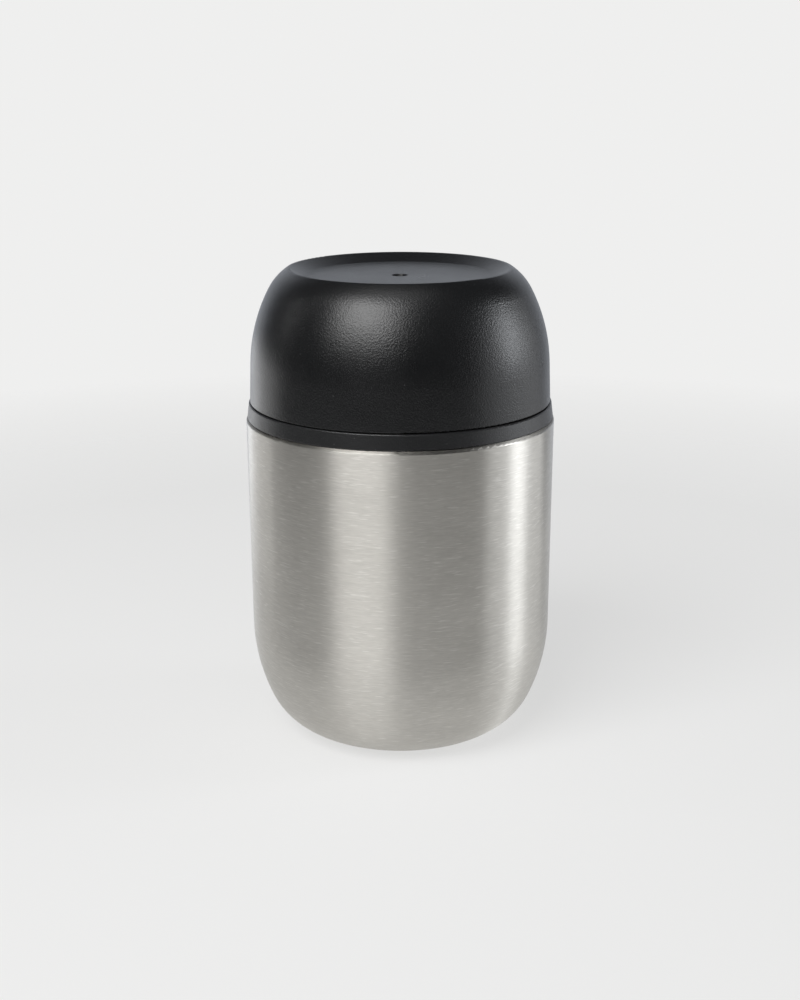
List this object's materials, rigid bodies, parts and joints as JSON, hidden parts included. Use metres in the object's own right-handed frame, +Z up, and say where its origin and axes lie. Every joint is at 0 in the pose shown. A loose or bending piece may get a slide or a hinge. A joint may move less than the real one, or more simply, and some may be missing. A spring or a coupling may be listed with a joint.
{
  "type": "insulated food jar",
  "caption": "Double-walled steel food jar with rounded bottom, black screw-on dome lid that doubles as a bowl, and an inner screw stopper with a vent button",
  "frame": {"origin": "centre of the face the jar stands on", "axes": "+Z up the jar's axis, out of its mouth; +X and +Y lie in the floor"},
  "size_m": [0.1, 0.1, 0.1542],
  "materials": {
    "brushed_steel": "fine brushing round the body",
    "pot_steel": "satin, electropolished",
    "foil": "bright rolled foil",
    "getter_alloy": "sintered, dull",
    "braze": "solidified braze",
    "black_plastic": "satin moulding with a very fine texture",
    "grey_plastic": "satin moulding",
    "button_plastic": "satin moulding",
    "silicone": "soft, slightly translucent grey",
    "foam": "closed-cell foam",
    "spring_steel": "drawn wire"
  },
  "bodies": {
    "jar": {"outer_shell": "brushed_steel", "outer_base": "brushed_steel", "base_cover": "brushed_steel", "vacuum_seal": "braze", "getter": "getter_alloy", "getter_holder": "pot_steel", "inner_liner": "pot_steel", "liner_base": "pot_steel", "heat_shield": "foil", "neck_collar": "black_plastic", "collar_seal": "silicone"},
    "lid_ring": {"lid_seal": "silicone"},
    "bowl_lid": {"bowl_lid": "black_plastic"},
    "stopper_ring": {"stopper_seal": "silicone"},
    "stopper": {"stopper_body": "grey_plastic", "stopper_cover": "grey_plastic", "stopper_insulation": "foam", "vent_spring": "spring_steel"},
    "vent": {"vent_button": "button_plastic", "vent_stem": "grey_plastic", "vent_seal": "silicone"}
  },
  "joints": [
    {"name": "lid_rise", "type": "slide", "parent": "jar", "child": "lid_ring", "axis": [0, 0, 1], "range_m": [0, 0.04]},
    {"name": "lid_turn", "type": "hinge", "parent": "lid_ring", "child": "bowl_lid", "pos_m": [0, 0, 0.1315], "axis": [0, 0, 1], "range_deg": [0, 1800]},
    {"name": "stopper_rise", "type": "slide", "parent": "jar", "child": "stopper_ring", "axis": [0, 0, 1], "range_m": [0, 0.008]},
    {"name": "stopper_turn", "type": "hinge", "parent": "stopper_ring", "child": "stopper", "pos_m": [0, 0, 0.1225], "axis": [0, 0, 1], "range_deg": [0, 720]},
    {"name": "vent_press", "type": "slide", "parent": "stopper", "child": "vent", "axis": [0, 0, -1], "range_m": [0, 0.0018], "stiffness_N_per_m": 400, "springref_m": -0.002, "deforming": ["vent_spring"]}
  ],
  "couplings": [
    {"joint": "lid_turn", "follows": "lid_rise", "rad_per_m": 785.4},
    {"joint": "stopper_turn", "follows": "stopper_rise", "rad_per_m": 1570.8}
  ]
}
